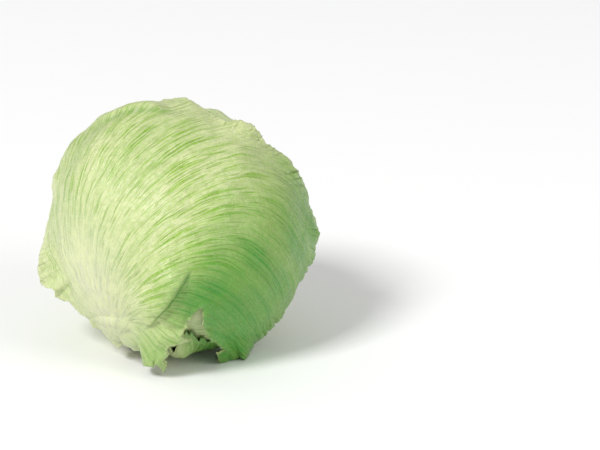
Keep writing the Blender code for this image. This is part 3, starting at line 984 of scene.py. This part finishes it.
def clear_of_stem(points):
    """Moves points that would touch the stem straight out from it."""
    side = np.hypot(points[:, 0], points[:, 1])
    beside = (points[:, 2] < 0.0) & (points[:, 2] > STEM_CUT - STEM_GAP)
    wanted = np.maximum(side, np.where(beside, STEM_RADIUS + STEM_GAP, 0.0))
    moved = points.copy()
    moved[:, :2] *= (wanted / np.maximum(side, 1e-9))[:, None]
    return moved


def applied(obj):
    """Makes the object's modifiers part of its mesh."""
    graph = bpy.context.evaluated_depsgraph_get()
    whole = bpy.data.meshes.new_from_object(obj.evaluated_get(graph))
    obj.modifiers.clear()
    obj.vertex_groups.clear()
    obj.data = whole


def solid_sheet(obj, thick):
    """Gives an open sheet the thickness at each vertex, outwards, and makes it one mesh."""
    thinnest, thickest = float(thick.min()), float(thick.max())
    group = obj.vertex_groups.new(name="thickness")
    for index, weight in enumerate(((thick - thinnest) / (thickest - thinnest)).tolist()):
        group.add([index], weight, "REPLACE")
    shell = obj.modifiers.new("thickness", "SOLIDIFY")
    shell.thickness = thickest
    shell.offset = 1.0
    shell.vertex_group = group.name
    shell.thickness_vertex_group = thinnest / thickest
    applied(obj)


def torn_aside(seed, steps):
    """How far a torn edge lies to one side of its line, at these lengths along it."""
    broad = cloud(seed, steps / TEAR_BROAD_WAVE, 0.0 * steps)
    small = cloud(seed + 1, steps / TEAR_SMALL_WAVE, 0.0 * steps)
    return TEAR_WANDER * (broad + 0.6 * small - 0.8)


def tear_wedge(leaf):
    """The wedge that a tear takes out of a leaf, with ragged sides."""
    runs = np.hypot(*np.diff(TEAR_OUTLINE, axis=0).T)
    place = np.concatenate(((0.0,), np.cumsum(runs)))
    steps = np.unique(np.concatenate((np.arange(0.0, place[-1], TEAR_STEP), place)))
    x = np.interp(steps, place, TEAR_OUTLINE[:, 0]) + torn_aside(91, steps)
    y = np.interp(steps, place, TEAR_OUTLINE[:, 1]) + torn_aside(93, steps)
    points = from_chart(leaf, x, y) * BALL_RADIUS
    wedge = bmesh.new()
    base = wedge.faces.new([wedge.verts.new(point * TEAR_INSIDE) for point in points])
    grown = bmesh.ops.extrude_face_region(wedge, geom=[base])["geom"]
    for vertex in grown:
        if isinstance(vertex, bmesh.types.BMVert):
            vertex.co *= TEAR_OUTSIDE / TEAR_INSIDE
    bmesh.ops.triangulate(wedge, faces=wedge.faces)
    bmesh.ops.recalc_face_normals(wedge, faces=wedge.faces)
    return new_object("tear", wedge)


def cut_away(obj, tool):
    """Takes the tool's solid out of the object, and removes the tool."""
    cut = obj.modifiers.new("cut", "BOOLEAN")
    cut.operation = "DIFFERENCE"
    cut.object = tool
    applied(obj)
    bpy.data.objects.remove(tool)


def coordinates(mesh):
    """A mesh's vertices as an array."""
    values = np.empty(len(mesh.vertices) * 3)
    mesh.vertices.foreach_get("co", values)
    return values.reshape(-1, 3)


def store_finish(mesh, finish):
    """Keeps on each vertex what the finish reads, and the veins' lines as a UV map."""
    corner = np.empty(len(mesh.loops), dtype=int)
    mesh.loops.foreach_get("vertex_index", corner)
    veins = mesh.uv_layers.new(name="veins")
    veins.data.foreach_set("uv", np.column_stack((finish["lines"], finish["run"]))[corner].ravel())
    for name in FINISH_VALUES:
        mesh.attributes.new(name, "FLOAT", "POINT").data.foreach_set("value", finish[name])


def new_object(name, shape_mesh, points=None):
    """A bmesh as an object of the scene, its vertices moved to the points if there are any."""
    mesh = bpy.data.meshes.new(name)
    shape_mesh.to_mesh(mesh)
    shape_mesh.free()
    if points is not None:
        mesh.vertices.foreach_set("co", points.ravel())
    obj = bpy.data.objects.new(name, mesh)
    bpy.context.scene.collection.objects.link(obj)
    return obj


def settle(obj, node, material):
    """Puts a finished piece in its place on the table, in its node's stead."""
    obj.data.transform(PLACE)
    obj.data.shade_smooth()
    obj.data.materials.clear()
    obj.data.materials.append(material)
    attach(obj, "root")
    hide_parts(node)


def make_leaf(context, number, grid):
    """One wrapper leaf: a square grid shaped to the leaf, then given its thickness."""
    shape, leaf = context.scene.lettuce_shape, LEAVES[number]
    sheet = bmesh.new()
    bmesh.ops.create_grid(sheet, x_segments=grid, y_segments=grid, size=1.0)
    square = np.array([vertex.co[:2] for vertex in sheet.verts])
    points, thick, finish = leaf_surface(shape, number, *round_chart(square[:, 0], square[:, 1]))
    points = off_table(clear_of_stem(points), shape.blade_thickness - PRESS_DEPTH)
    obj = new_object(leaf.name + "_fine", sheet, points)
    store_finish(obj.data, finish)
    solid_sheet(obj, thick)
    obj.data.vertices.foreach_set("co", off_table(coordinates(obj.data), 0.0).ravel())
    if leaf.tear:
        cut_away(obj, tear_wedge(leaf))
    slot = "inner_leaf" if leaf.name.startswith("inner") else "outer_leaf"
    settle(obj, leaf.name, leaf_material(context, slot))


def make_leaves(context, kind, grid):
    """The wrapper leaves whose names start with this kind, the innermost first."""
    for number, leaf in enumerate(LEAVES):
        if leaf.name.startswith(kind):
            make_leaf(context, number, grid)


def turned(name, profile, sides):
    """A profile of (radius, height) points, from top to bottom, spun round the head's axis."""
    shape_mesh = bmesh.new()
    chain = [shape_mesh.verts.new((radius, 0.0, height)) for radius, height in profile]
    edges = [shape_mesh.edges.new(pair) for pair in zip(chain, chain[1:])]
    bmesh.ops.spin(
        shape_mesh,
        geom=chain + edges,
        cent=(0.0, 0.0, 0.0),
        axis=(0.0, 0.0, 1.0),
        angle=2.0 * math.pi,
        steps=sides,
        use_merge=True,
    )
    bmesh.ops.remove_doubles(shape_mesh, verts=shape_mesh.verts, dist=1e-6)
    bmesh.ops.recalc_face_normals(shape_mesh, faces=shape_mesh.faces)
    return new_object(name, shape_mesh)


def stem_profile(gap, end):
    """The stem's outline, let out by a gap and carried down to end."""
    return (
        (0.0, STEM_TOP + gap),
        (STEM_TOP_RADIUS + gap, STEM_TOP + gap),
        (STEM_RADIUS - STEM_BEVEL + gap, STEM_SHOULDER),
        (STEM_RADIUS + gap, STEM_SHOULDER - STEM_SHOULDER_DROP),
        (STEM_RADIUS + gap, end + STEM_BEVEL),
        (STEM_RADIUS - STEM_BEVEL + gap, end),
        (0.0, end),
    )


def fine_profile(profile, step):
    """The same outline with a point at least every step."""
    points = [profile[0]]
    for (r0, z0), (r1, z1) in zip(profile, profile[1:]):
        count = max(1, round(math.hypot(r1 - r0, z1 - z0) / step))
        for part in range(1, count + 1):
            points.append((r0 + (r1 - r0) * part / count, z0 + (z1 - z0) * part / count))
    return points


def make_stem(context):
    """The stem: a core inside the head, cut at the butt, with an uneven side and a rough cut."""
    shape = context.scene.lettuce_shape
    profile = fine_profile(stem_profile(0.0, STEM_CUT), STEM_POINT_SPACING)
    obj = turned("stem_fine", profile, shape.stem_sides)
    points = coordinates(obj.data)
    side = np.hypot(points[:, 0], points[:, 1])
    turn = np.arctan2(points[:, 1], points[:, 0]) / math.pi * 0.5 * STEM_FLUTES
    flutes = cloud(71, turn + 32.0, points[:, 2] / STEM_FLUTE_LENGTH + 32.0)
    share = smooth(0.3, 1.0, side / STEM_RADIUS)
    points[:, :2] *= (1.0 - STEM_FLUTE_DEPTH * flutes * share)[:, None]
    rough = spots(72, points[:, 0], points[:, 1], STEM_GRAIN, 30.0)
    bottom = smooth(STEM_CUT + STEM_CUT_ZONE, STEM_CUT, points[:, 2])
    dish = STEM_DISH * (1.0 - (side / STEM_RADIUS) ** 2)
    points[:, 2] += bottom * (dish + STEM_ROUGHNESS * rough)
    obj.data.vertices.foreach_set("co", points.ravel())
    settle(obj, "stem", stem_material(context))


def make_heart(context):
    """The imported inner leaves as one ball, stepped where each one ends and open for the stem."""
    shape = context.scene.lettuce_shape
    ball_mesh = bmesh.new()
    bmesh.ops.create_icosphere(ball_mesh, subdivisions=shape.heart_detail, radius=1.0)
    points = np.array([vertex.co.normalized() for vertex in ball_mesh.verts])
    away = {leaf.name: outside(leaf, points) for leaf in (*LEAVES, *HEART_LEAVES)}
    radius = ball(points) - HEART_CLEARANCE
    top = np.zeros(len(points), dtype=int)
    finishes = []
    for index, leaf in enumerate(HEART_LEAVES):
        radius -= HEART_STEP * smooth(0.0, HEART_STEP_WIDTH, away[leaf.name])
        top = np.where(away[leaf.name] < HEART_LEAF_EDGE, index, top)
        finishes.append(leaf_finish(shape, leaf, *to_chart(leaf, points), 0.0 * radius))
    finish = {
        name: np.choose(top, [one[name] + 0.0 * radius for one in finishes])
        for name in ("lines", "run", *FINISH_VALUES)
    }
    radius = radius + shape.vein_height * (finish["vein"] - 1.0)
    radius = pressed(radius, layers(shape, LEAVES, points, away) + HEART_CLEARANCE, points)
    obj = new_object("heart_fine", ball_mesh, points * radius[:, None])
    store_finish(obj.data, finish)
    cut_away(obj, turned("stem_hole", stem_profile(STEM_GAP, STEM_HOLE_END), STEM_HOLE_SIDES))
    settle(obj, "heart", leaf_material(context, "heart"))


class Nodes:
    """Short forms for building one material's nodes."""

    def __init__(self, name):
        self.material = bpy.data.materials.new(name)
        self.material.use_nodes = True
        self.tree = self.material.node_tree
        self.shader = self.tree.nodes["Principled BSDF"]

    def set(self, node, inputs):
        """Gives sockets a value, or a link from another node's socket."""
        for name, value in inputs.items():
            if isinstance(value, bpy.types.NodeSocket):
                self.tree.links.new(value, node.inputs[name])
            else:
                node.inputs[name].default_value = value

    def add(self, kind, inputs=None, **settings):
        """A new node with these inputs and settings."""
        node = self.tree.nodes.new("ShaderNode" + kind)
        for name, value in settings.items():
            setattr(node, name, value)
        self.set(node, inputs or {})
        return node

    def math(self, operation, *values):
        """The result of a Math node."""
        return self.add("Math", dict(enumerate(values)), operation=operation).outputs[0]

    def blend(self, factor, first, second):
        """A mix of two numbers."""
        return self.add("Mix", {0: factor, 2: first, 3: second}).outputs[0]

    def tint(self, factor, first, second):
        """A mix of two colours."""
        return self.add("Mix", {0: factor, 6: first, 7: second}, data_type="RGBA").outputs[2]

    def value(self, name):
        """A number kept on the piece's vertices."""
        return self.add("Attribute", attribute_name=name).outputs["Fac"]

    def spread(self, value, low, high, out_low=0.0, out_high=1.0):
        """A number stretched from one range to another, with a soft start and end."""
        inputs = {"Value": value, "From Min": low, "From Max": high}
        inputs.update({"To Min": out_low, "To Max": out_high})
        return self.add("MapRange", inputs, interpolation_type="SMOOTHSTEP").outputs[0]

    def clamp(self, value):
        """A number kept between 0 and 1."""
        return self.add("Clamp", {0: value}).outputs[0]

    def around(self, value, middle, width):
        """1 where a number is at its middle, down to 0 where it is width away from there."""
        away = self.math("ABSOLUTE", self.math("SUBTRACT", value, middle))
        return self.spread(away, 0.0, width, 1.0, 0.0)

    def add_parts(self, total, parts):
        """A number with each of the parts, given as (value, weight), added to it."""
        for value, weight in parts:
            total = self.math("MULTIPLY_ADD", value, weight, total)
        return total

    def most(self, parts):
        """The greatest of the parts, given as (value, weight)."""
        greatest = 0.0
        for value, weight in parts:
            greatest = self.math("MAXIMUM", greatest, self.math("MULTIPLY", value, weight))
        return greatest

    def noise(self, vector, scale, detail, roughness):
        """Smooth random values."""
        inputs = {"Vector": vector, "Scale": scale, "Detail": detail, "Roughness": roughness}
        return self.add("TexNoise", inputs).outputs[0]


def opaque(colour, share=1.0):
    """A colour, or a darker share of it, with full alpha."""
    return (*(share * part for part in colour), 1.0)


def streaks(nodes, veins, pattern):
    """Random values drawn out along the veins, twice as often where the veins have spread."""
    lines, run, level = veins
    place = nodes.math("SUBTRACT", level, math.log2(pattern.spacing))
    step = nodes.math("FLOOR", place)
    part = nodes.spread(nodes.math("SUBTRACT", place, step), 0.0, 1.0)
    along = nodes.math("DIVIDE", run, pattern.length)
    found = []
    for extra in (0.0, 1.0):
        power = nodes.math("POWER", 2.0, nodes.math("ADD", step, extra))
        across = nodes.math("MULTIPLY", lines, power)
        vector = nodes.add("CombineXYZ", {0: across, 1: along, 2: pattern.seed}).outputs[0]
        found.append(nodes.noise(vector, 1.0, 2.0, 0.55))
    return nodes.blend(part, *found)


LeafLook = namedtuple("LeafLook", "base deepness creaminess")
LEAF_LOOKS = {
    "outer_leaf": LeafLook("blade", deepness=1.0, creaminess=1.0),
    "inner_leaf": LeafLook("inner", deepness=0.60, creaminess=0.30),
    "heart": LeafLook("heart", deepness=0.15, creaminess=0.7),
}
# Patterns along the veins, about spacing apart and length long. Veins are the thin lines where a
# pattern passes its middle. Flecks are the puckers between them, and bands are broad and faint.
Pattern = namedtuple("Pattern", "spacing length seed width whiteness height", defaults=(0.0,) * 3)
VEIN_PATTERNS = (
    Pattern(0.0085, 0.240, seed=8.0, width=0.045, whiteness=0.75, height=0.22),
    Pattern(0.0044, 0.130, seed=3.0, width=0.060, whiteness=0.95, height=0.15),
    Pattern(0.0021, 0.034, seed=5.0, width=0.110, whiteness=0.92, height=0.16),
)
FLECKS = Pattern(0.0019, 0.0090, seed=7.0, height=0.38)
BANDS = Pattern(0.0150, 0.085, seed=11.0)
VEIN_WANDER = 0.0016
NET_WHITENESS = 0.34
NET_HEIGHT = 0.10
CRUMPLE_BUMP = 0.50
GRAIN_BUMP = 0.05
DEEP_SHARE = 1.05
PATCHINESS = 0.90
FLECK_SHADE = 0.55
FOLD_SHADE = 0.7


def leaf_material(context, slot):
    """Leaf: cream midrib, whitish veins, streaked green blade, puckered and softly glossy, with
    painted shade in its folds and hollows.
    """
    name = slot + "_finish"
    if name in bpy.data.materials:
        return bpy.data.materials[name]
    colours = context.scene.lettuce_colours
    look = LEAF_LOOKS[slot]
    nodes = Nodes(name)
    apart = nodes.add("SeparateXYZ", {0: nodes.add("UVMap", uv_map="veins").outputs[0]})
    place = nodes.add("TexCoord").outputs["Object"]
    deep, pale, level = nodes.value("deep"), nodes.value("pale"), nodes.value("level")

    # Veins wander a little to either side, by a share of the space between them
    wander = nodes.math("SUBTRACT", nodes.noise(place, 70.0, 1.0, 0.5), 0.5)
    space = nodes.math("POWER", 2.0, nodes.math("MULTIPLY", level, -1.0))
    wander = nodes.math("MULTIPLY", wander, space)
    lines = nodes.math("MULTIPLY_ADD", wander, VEIN_WANDER, apart.outputs[0])
    veins = (lines, apart.outputs[1], level)
    drawn = [nodes.around(streaks(nodes, veins, kind), 0.5, kind.width) for kind in VEIN_PATTERNS]
    flecks = streaks(nodes, veins, FLECKS)
    bands = streaks(nodes, veins, BANDS)

    # A net of the smallest veins, and unevenness that follows no vein
    wobble = nodes.add("TexNoise", {"Vector": place, "Scale": 260.0}).outputs["Color"]
    bent = {0: wobble, 1: (0.004, 0.004, 0.004), 2: place}
    bent = nodes.add("VectorMath", bent, operation="MULTIPLY_ADD").outputs[0]
    net = nodes.add("TexVoronoi", {"Vector": bent, "Scale": 430.0}, feature="DISTANCE_TO_EDGE")
    net = nodes.spread(net.outputs["Distance"], 0.0, 0.16, 1.0, 0.0)
    grain = nodes.noise(place, 1100.0, 3.0, 0.6)
    crumple = nodes.noise(bent, 330.0, 2.0, 0.5)
    patches = nodes.noise(place, 26.0, 3.0, 0.55)

    # Blade: its own green, deeper far from the midrib and in patches and bands, and cream beside it
    green = nodes.math("MULTIPLY", deep, DEEP_SHARE * look.deepness)
    uneven = [(nodes.math("SUBTRACT", value, 0.5), PATCHINESS) for value in (patches, bands)]
    green = nodes.clamp(nodes.add_parts(green, uneven))
    base = nodes.tint(green, opaque(getattr(colours, look.base)), opaque(colours.deep))
    base = nodes.tint(nodes.math("MULTIPLY", pale, look.creaminess), base, opaque(colours.rib))
    # Painted shade: darker where the flecks' bump is low, in the hollows between the puckers, less
    # near the midrib
    shade = nodes.spread(flecks, 0.56, 0.38, 0.0, 0.38)
    shade = nodes.math("MULTIPLY", shade, nodes.math("MULTIPLY_ADD", pale, -0.5, 1.0))
    base = nodes.tint(shade, base, opaque(colours.blade, FLECK_SHADE))

    # Veins: whitish, greener in the deep green and fainter there, and fainter in the crumples'
    # hollows as painted shade
    whitish = [(value, kind.whiteness) for value, kind in zip(drawn, VEIN_PATTERNS)]
    whitish = nodes.most([*whitish, (net, NET_WHITENESS)])
    for fainter in (
        nodes.math("MULTIPLY_ADD", deep, -0.72, 1.0),
        nodes.spread(crumple, 0.35, 0.60, 0.72, 1.0),
        nodes.spread(bands, 0.30, 0.62, 1.0, 0.80),
    ):
        whitish = nodes.math("MULTIPLY", whitish, fainter)
    greener = nodes.math("MULTIPLY", deep, 0.70)
    vein = nodes.tint(greener, opaque(colours.vein), opaque(colours.blade))
    base = nodes.tint(whitish, base, vein)

    # Margin, whiter partly as painted light, and painted shade along the folds and round the foot
    edge = nodes.math("MULTIPLY", nodes.value("edge"), nodes.math("MULTIPLY_ADD", deep, -0.6, 0.7))
    base = nodes.tint(edge, base, opaque(colours.vein))
    fold = nodes.math("MULTIPLY", nodes.value("fold"), 0.9)
    base = nodes.tint(fold, base, opaque(colours.deep, FOLD_SHADE))

    height = [(value, kind.height) for value, kind in zip(drawn, VEIN_PATTERNS)]
    height += [(flecks, FLECKS.height), (net, NET_HEIGHT)]
    height = nodes.add_parts(0.0, [*height, (crumple, CRUMPLE_BUMP), (grain, GRAIN_BUMP)])
    strength = nodes.math("MULTIPLY_ADD", pale, -0.5, 0.9)
    bump = nodes.add("Bump", {"Height": height, "Strength": strength, "Distance": 0.0010})
    nodes.set(
        nodes.shader,
        {
            "Base Color": base,
            "Roughness": nodes.spread(grain, 0.3, 0.7, 0.24, 0.42),
            "Specular IOR Level": 0.42,
            "Normal": bump.outputs[0],
            "Subsurface Weight": 0.2,
            "Subsurface Radius": (0.8, 1.0, 0.35),
            "Subsurface Scale": 0.0016,
        },
    )
    return nodes.material


def stem_material(context):
    """Stem: off-white, browned at the cut, with a faint ring of darker fibres inside it."""
    colours = context.scene.lettuce_colours
    nodes = Nodes("stem_finish")
    place = nodes.add("TexCoord").outputs["Object"]
    # The head's own axes, in which the cut is level and the stem stands on its middle
    middle = nodes.add("VectorMath", {0: place, 1: HEAD_CENTRE}, operation="SUBTRACT").outputs[0]
    local = []
    for axis in AXES.T.tolist():
        along = nodes.add("VectorMath", {0: middle, 1: axis}, operation="DOT_PRODUCT")
        local.append(along.outputs["Value"])
    side = nodes.math("ADD", *(nodes.math("POWER", across, 2.0) for across in local[:2]))
    side = nodes.math("SQRT", side)
    cut = nodes.spread(local[2], STEM_CUT + 0.004, STEM_CUT + 0.0008)
    blotches = nodes.noise(place, 160.0, 4.0, 0.6)
    ring = nodes.around(side, CUT_RING_RADIUS, CUT_RING_WIDTH)
    brown = nodes.math("MULTIPLY", cut, nodes.spread(blotches, 0.30, 0.75, 0.0, 0.4))
    brown = nodes.add_parts(brown, [(nodes.math("MULTIPLY", cut, ring), 0.35)])
    base = nodes.tint(nodes.clamp(brown), opaque(colours.stem), opaque(colours.cut))
    bump = nodes.add("Bump", {"Height": blotches, "Strength": 0.5, "Distance": 0.0008})
    nodes.set(
        nodes.shader,
        {
            "Base Color": base,
            "Roughness": nodes.spread(blotches, 0.3, 0.7, 0.5, 0.75),
            "Normal": bump.outputs[0],
            "Subsurface Weight": 0.15,
            "Subsurface Radius": (1.0, 0.9, 0.5),
            "Subsurface Scale": 0.002,
        },
    )
    return nodes.material


def make_table(context):
    """The pale table that the head lies on."""
    side = context.scene.lettuce_stage.table_size
    plane = bmesh.new()
    bmesh.ops.create_grid(plane, x_segments=1, y_segments=1, size=side / 2.0)
    table = new_object("table", plane)
    nodes = Nodes("table_finish")
    colour = opaque(context.scene.lettuce_colours.table)
    nodes.set(nodes.shader, {"Base Color": colour, "Roughness": 0.8})
    table.data.materials.append(nodes.material)


def make_light(name, place, size, power):
    """A square soft light aimed at the head."""
    light = bpy.data.lights.new(name, "AREA")
    light.size = size
    light.energy = power
    obj = bpy.data.objects.new(name, light)
    obj.location = place
    obj.rotation_euler = (Vector(HEAD_CENTRE) - Vector(place)).to_track_quat("-Z", "Y").to_euler()
    bpy.context.scene.collection.objects.link(obj)


def make_camera(context):
    """The camera in front of the head, looking down on it, with the head left of the middle."""
    stage = context.scene.lettuce_stage
    lens = bpy.data.cameras.new("camera")
    lens.lens = lens.sensor_width * stage.camera_distance / stage.view_width
    lens.shift_x = stage.view_shift
    lens.shift_y = stage.view_rise
    camera = bpy.data.objects.new("camera", lens)
    back = Vector((0.0, -math.cos(stage.camera_elevation), math.sin(stage.camera_elevation)))
    camera.location = Vector(HEAD_CENTRE) + stage.camera_distance * back
    camera.rotation_euler = (-back).to_track_quat("-Z", "Y").to_euler()
    context.scene.collection.objects.link(camera)
    context.scene.camera = camera


def make_surroundings(context):
    """White light from all round."""
    world = bpy.data.worlds.new("surroundings")
    world.use_nodes = True
    background = world.node_tree.nodes["Background"]
    background.inputs["Color"].default_value = (1.0, 1.0, 1.0, 1.0)
    background.inputs["Strength"].default_value = context.scene.lettuce_stage.sky_strength
    context.scene.world = world
    context.scene.view_settings.view_transform = "Standard"


class LETTUCE_OT_stem(bpy.types.Operator):
    """Add the cut stem"""

    bl_idname = "lettuce.stem"
    bl_label = "Stem"

    def execute(self, context):
        make_stem(context)
        return {"FINISHED"}


class LETTUCE_OT_heart(bpy.types.Operator):
    """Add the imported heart"""

    bl_idname = "lettuce.heart"
    bl_label = "Heart"

    def execute(self, context):
        make_heart(context)
        return {"FINISHED"}


class LETTUCE_OT_inner_leaves(bpy.types.Operator):
    """Add the three inner wrapper leaves"""

    bl_idname = "lettuce.inner_leaves"
    bl_label = "Inner leaves"

    def execute(self, context):
        make_leaves(context, "inner", context.scene.lettuce_shape.inner_grid)
        return {"FINISHED"}


class LETTUCE_OT_outer_leaves(bpy.types.Operator):
    """Add the two outer wrapper leaves at the back and the left"""

    bl_idname = "lettuce.outer_leaves"
    bl_label = "Outer leaves"

    def execute(self, context):
        make_leaves(context, "outer", context.scene.lettuce_shape.outer_grid)
        return {"FINISHED"}


class LETTUCE_OT_front_leaf(bpy.types.Operator):
    """Add the torn outer leaf over the front"""

    bl_idname = "lettuce.front_leaf"
    bl_label = "Front leaf"

    def execute(self, context):
        make_leaves(context, "front", context.scene.lettuce_shape.front_grid)
        return {"FINISHED"}


class LETTUCE_OT_stage(bpy.types.Operator):
    """Add the table, the light and the camera"""

    bl_idname = "lettuce.stage"
    bl_label = "Table, light and camera"

    def execute(self, context):
        stage = context.scene.lettuce_stage
        make_table(context)
        make_light("key", KEY_PLACE, KEY_SIZE, stage.key_power)
        make_light("fill", FILL_PLACE, FILL_SIZE, stage.fill_power)
        make_surroundings(context)
        make_camera(context)
        return {"FINISHED"}


OPERATORS = (
    LETTUCE_OT_stage,
    LETTUCE_OT_stem,
    LETTUCE_OT_heart,
    LETTUCE_OT_inner_leaves,
    LETTUCE_OT_outer_leaves,
    LETTUCE_OT_front_leaf,
)


class LETTUCE_PT_panel(bpy.types.Panel):
    """Lists the pieces of the lettuce head"""

    bl_label = "Iceberg Lettuce Head"
    bl_space_type = "VIEW_3D"
    bl_region_type = "UI"
    bl_category = "Lettuce"

    def draw(self, context):
        for group in ("lettuce_shape", "lettuce_colours", "lettuce_stage"):
            values = getattr(context.scene, group)
            for name in values.bl_rna.properties.keys():
                if name not in ("rna_type", "name"):
                    self.layout.prop(values, name)
        for operator in OPERATORS:
            self.layout.operator(operator.bl_idname)


GROUPS = {
    "lettuce_shape": LettuceShape,
    "lettuce_colours": LettuceColours,
    "lettuce_stage": LettuceStage,
}
CLASSES = (*GROUPS.values(), *OPERATORS, LETTUCE_PT_panel)


def register():
    for item in CLASSES:
        bpy.utils.register_class(item)
    for name, group in GROUPS.items():
        setattr(bpy.types.Scene, name, PointerProperty(type=group))


def unregister():
    for name in GROUPS:
        delattr(bpy.types.Scene, name)
    for item in reversed(CLASSES):
        bpy.utils.unregister_class(item)


def main():
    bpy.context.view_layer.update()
    register()
    for operator in OPERATORS:
        family, name = operator.bl_idname.split(".")
        getattr(getattr(bpy.ops, family), name)()


if __name__ == "__main__":
    main()
